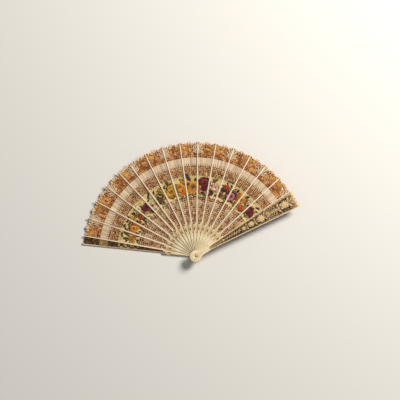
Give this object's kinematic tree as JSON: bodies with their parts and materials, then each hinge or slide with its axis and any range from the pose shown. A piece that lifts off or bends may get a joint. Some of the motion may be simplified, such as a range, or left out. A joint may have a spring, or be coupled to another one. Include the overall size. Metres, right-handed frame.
{
  "type": "folding fan",
  "caption": "Open folding fan: slim pierced bone sticks and two carved guards turn on one rivet and carry a pleated lace leaf with a floral band, a ribbon and a pointed edge.",
  "frame": {"origin": "centre of the rivet's rear face, on the plane that the rear guard lies on", "axes": "+Z along the rivet towards the side that shows the ribs, +X to the right along the open fan's width, +Y up the fan"},
  "size_m": [0.4367, 0.2432, 0.0232],
  "materials": {
    "bone_stick": "satin polished bone, cream with warmer streaks",
    "carved_bone_guard": "carved and pierced bone, darkened in the recesses",
    "lace_leaf": "ecru and tan lace with a woven ribbon, a floral band and gold thread",
    "rivet_metal": "dulled, slightly greenish rivet metal"
  },
  "bodies": {
    "rear_guard": {"rear_guard": "carved_bone_guard", "leaf_rear_panel": "lace_leaf", "rivet_pin": "rivet_metal", "rivet_washer": "rivet_metal", "rivet_stud": "rivet_metal"},
    "stick_01": {"stick_01": "bone_stick", "leaf_gore_01": "lace_leaf"},
    "stick_02": {"stick_02": "bone_stick", "leaf_gore_02": "lace_leaf"},
    "stick_03": {"stick_03": "bone_stick", "leaf_gore_03": "lace_leaf"},
    "stick_04": {"stick_04": "bone_stick", "leaf_gore_04": "lace_leaf"},
    "stick_05": {"stick_05": "bone_stick", "leaf_gore_05": "lace_leaf"},
    "stick_06": {"stick_06": "bone_stick", "leaf_gore_06": "lace_leaf"},
    "stick_07": {"stick_07": "bone_stick", "leaf_gore_07": "lace_leaf"},
    "stick_08": {"stick_08": "bone_stick", "leaf_gore_08": "lace_leaf"},
    "stick_09": {"stick_09": "bone_stick", "leaf_gore_09": "lace_leaf"},
    "stick_10": {"stick_10": "bone_stick", "leaf_gore_10": "lace_leaf"},
    "stick_11": {"stick_11": "bone_stick", "leaf_gore_11": "lace_leaf"},
    "stick_12": {"stick_12": "bone_stick", "leaf_gore_12": "lace_leaf"},
    "stick_13": {"stick_13": "bone_stick", "leaf_gore_13": "lace_leaf"},
    "stick_14": {"stick_14": "bone_stick", "leaf_gore_14": "lace_leaf"},
    "stick_15": {"stick_15": "bone_stick", "leaf_gore_15": "lace_leaf"},
    "stick_16": {"stick_16": "bone_stick"},
    "front_guard": {"front_guard": "carved_bone_guard", "leaf_front_panel": "lace_leaf"}
  },
  "joints": [
    {"name": "open_stick_01", "type": "hinge", "parent": "rear_guard", "child": "stick_01", "pos_m": [0, 0, 0], "axis": [0, 0, 1], "range_deg": [0, 0.8]},
    {"name": "open_stick_02", "type": "hinge", "parent": "stick_01", "child": "stick_02", "pos_m": [0, 0, 0], "axis": [0, 0, 1], "range_deg": [0, 9.25], "deforming": ["leaf_gore_01"]},
    {"name": "open_stick_03", "type": "hinge", "parent": "stick_02", "child": "stick_03", "pos_m": [0, 0, 0], "axis": [0, 0, 1], "range_deg": [0, 9.25], "deforming": ["leaf_gore_02"]},
    {"name": "open_stick_04", "type": "hinge", "parent": "stick_03", "child": "stick_04", "pos_m": [0, 0, 0], "axis": [0, 0, 1], "range_deg": [0, 9.25], "deforming": ["leaf_gore_03"]},
    {"name": "open_stick_05", "type": "hinge", "parent": "stick_04", "child": "stick_05", "pos_m": [0, 0, 0], "axis": [0, 0, 1], "range_deg": [0, 9.25], "deforming": ["leaf_gore_04"]},
    {"name": "open_stick_06", "type": "hinge", "parent": "stick_05", "child": "stick_06", "pos_m": [0, 0, 0], "axis": [0, 0, 1], "range_deg": [0, 7], "deforming": ["leaf_gore_05"]},
    {"name": "open_stick_07", "type": "hinge", "parent": "stick_06", "child": "stick_07", "pos_m": [0, 0, 0], "axis": [0, 0, 1], "range_deg": [0, 9.25], "deforming": ["leaf_gore_06"]},
    {"name": "open_stick_08", "type": "hinge", "parent": "stick_07", "child": "stick_08", "pos_m": [0, 0, 0], "axis": [0, 0, 1], "range_deg": [0, 9.25], "deforming": ["leaf_gore_07"]},
    {"name": "open_stick_09", "type": "hinge", "parent": "stick_08", "child": "stick_09", "pos_m": [0, 0, 0], "axis": [0, 0, 1], "range_deg": [0, 9.25], "deforming": ["leaf_gore_08"]},
    {"name": "open_stick_10", "type": "hinge", "parent": "stick_09", "child": "stick_10", "pos_m": [0, 0, 0], "axis": [0, 0, 1], "range_deg": [0, 9.25], "deforming": ["leaf_gore_09"]},
    {"name": "open_stick_11", "type": "hinge", "parent": "stick_10", "child": "stick_11", "pos_m": [0, 0, 0], "axis": [0, 0, 1], "range_deg": [0, 9.25], "deforming": ["leaf_gore_10"]},
    {"name": "open_stick_12", "type": "hinge", "parent": "stick_11", "child": "stick_12", "pos_m": [0, 0, 0], "axis": [0, 0, 1], "range_deg": [0, 9.25], "deforming": ["leaf_gore_11"]},
    {"name": "open_stick_13", "type": "hinge", "parent": "stick_12", "child": "stick_13", "pos_m": [0, 0, 0], "axis": [0, 0, 1], "range_deg": [0, 9.25], "deforming": ["leaf_gore_12"]},
    {"name": "open_stick_14", "type": "hinge", "parent": "stick_13", "child": "stick_14", "pos_m": [0, 0, 0], "axis": [0, 0, 1], "range_deg": [0, 9.25], "deforming": ["leaf_gore_13"]},
    {"name": "open_stick_15", "type": "hinge", "parent": "stick_14", "child": "stick_15", "pos_m": [0, 0, 0], "axis": [0, 0, 1], "range_deg": [0, 9.25], "deforming": ["leaf_gore_14"]},
    {"name": "open_stick_16", "type": "hinge", "parent": "stick_15", "child": "stick_16", "pos_m": [0, 0, 0], "axis": [0, 0, 1], "range_deg": [0, 9.25], "deforming": ["leaf_gore_15"]},
    {"name": "open_front_guard", "type": "hinge", "parent": "stick_16", "child": "front_guard", "pos_m": [0, 0, 0], "axis": [0, 0, 1], "range_deg": [0, 2.56], "deforming": ["leaf_front_panel"]}
  ],
  "couplings": [
    {"joint": "open_stick_01", "follows": "open_stick_02", "ratio": 0.086486},
    {"joint": "open_stick_03", "follows": "open_stick_02", "ratio": 1},
    {"joint": "open_stick_04", "follows": "open_stick_02", "ratio": 1},
    {"joint": "open_stick_05", "follows": "open_stick_02", "ratio": 1},
    {"joint": "open_stick_06", "follows": "open_stick_02", "ratio": 0.75676},
    {"joint": "open_stick_07", "follows": "open_stick_02", "ratio": 1},
    {"joint": "open_stick_08", "follows": "open_stick_02", "ratio": 1},
    {"joint": "open_stick_09", "follows": "open_stick_02", "ratio": 1},
    {"joint": "open_stick_10", "follows": "open_stick_02", "ratio": 1},
    {"joint": "open_stick_11", "follows": "open_stick_02", "ratio": 1},
    {"joint": "open_stick_12", "follows": "open_stick_02", "ratio": 1},
    {"joint": "open_stick_13", "follows": "open_stick_02", "ratio": 1},
    {"joint": "open_stick_14", "follows": "open_stick_02", "ratio": 1},
    {"joint": "open_stick_15", "follows": "open_stick_02", "ratio": 1},
    {"joint": "open_stick_16", "follows": "open_stick_02", "ratio": 1},
    {"joint": "open_front_guard", "follows": "open_stick_02", "ratio": 0.27676}
  ]
}
